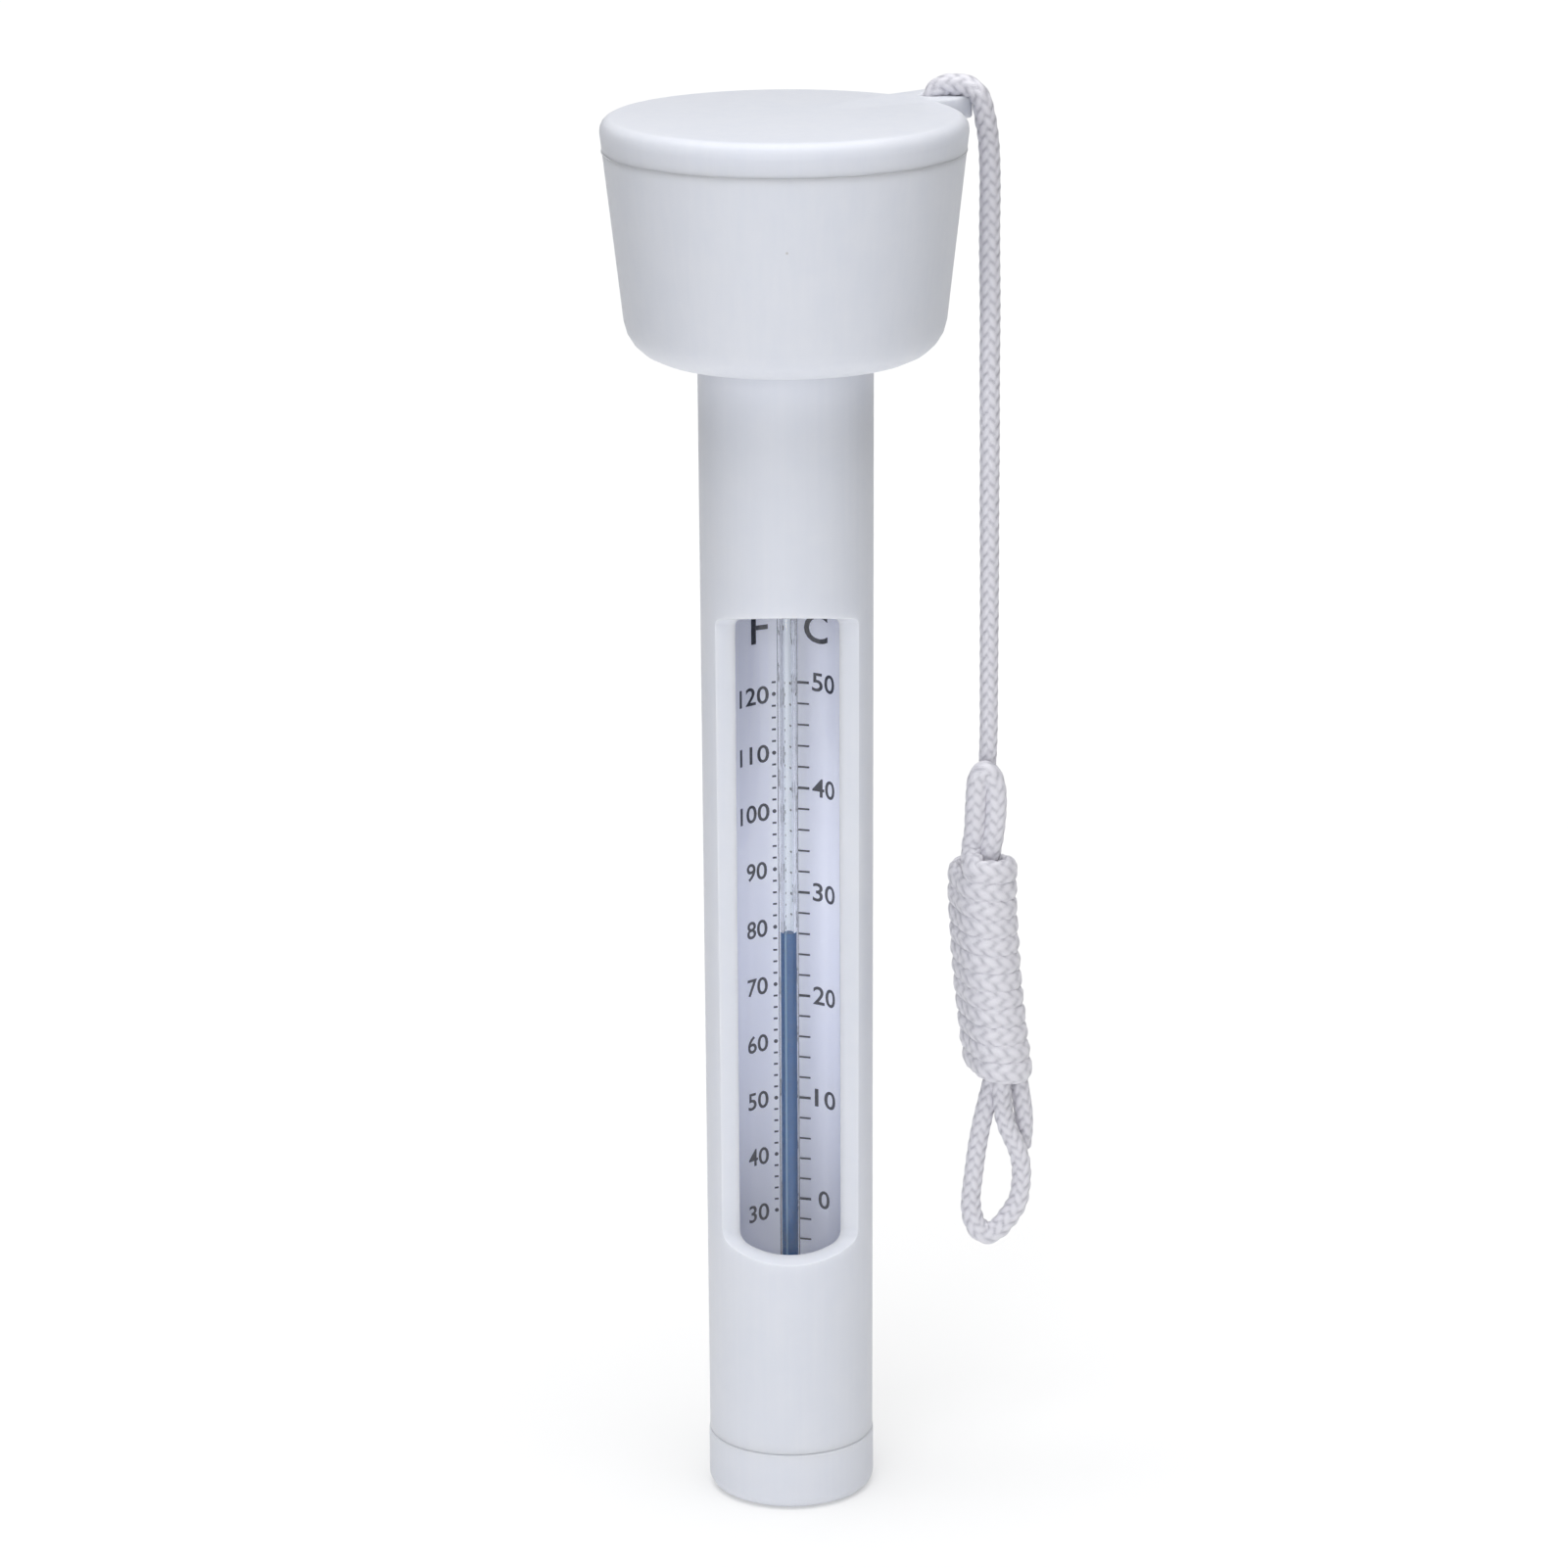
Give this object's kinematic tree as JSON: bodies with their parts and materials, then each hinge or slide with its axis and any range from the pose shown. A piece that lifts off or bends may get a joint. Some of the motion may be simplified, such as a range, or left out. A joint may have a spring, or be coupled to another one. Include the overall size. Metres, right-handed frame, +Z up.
{
  "type": "floating pool thermometer",
  "caption": "Floating thermometer: sealed float head, tube with a window over a scale card and a spirit stem, weighted end cap, and a braided lanyard wound into a hank.",
  "frame": {"origin": "centre of the flat base of the end cap", "axes": "+Z up along the tube, -Y towards the window, the lanyard lug at 41 degrees from +X towards +Y"},
  "size_m": [0.0506, 0.042, 0.1697],
  "materials": {
    "shell": "satin moulded white",
    "clear_tube": "clear polished plastic",
    "plug": "matt soft plastic",
    "cushion": "closed-cell foam",
    "card": "printed card",
    "stem": "drawn glass",
    "spirit": "dyed spirit",
    "steel": "turned steel",
    "cord": "braided white synthetic cord"
  },
  "bodies": {
    "float": {"float_lid": "shell", "casing": "shell", "end_cap": "shell", "ballast_weight": "steel", "sight_tube": "clear_tube", "tube_plug_top": "plug", "tube_plug_bottom": "plug", "top_cushion": "cushion", "scale_card": "card", "stem_glass": "stem", "stem_holder_top": "plug", "stem_holder_bottom": "plug", "bulb_spirit": "spirit", "spirit_column": "spirit", "cord_knot": "cord", "cord_run": "cord", "cord_bight": "cord", "cord_hank": "cord", "cord_loop": "cord", "cord_tail": "cord"},
    "spirit": {"spirit_tip": "spirit"}
  },
  "joints": [
    {"name": "spirit_level", "type": "slide", "parent": "float", "child": "spirit", "axis": [0, 0, 1], "range_m": [-0.0412, 0.0289], "deforming": ["spirit_column"]}
  ]
}
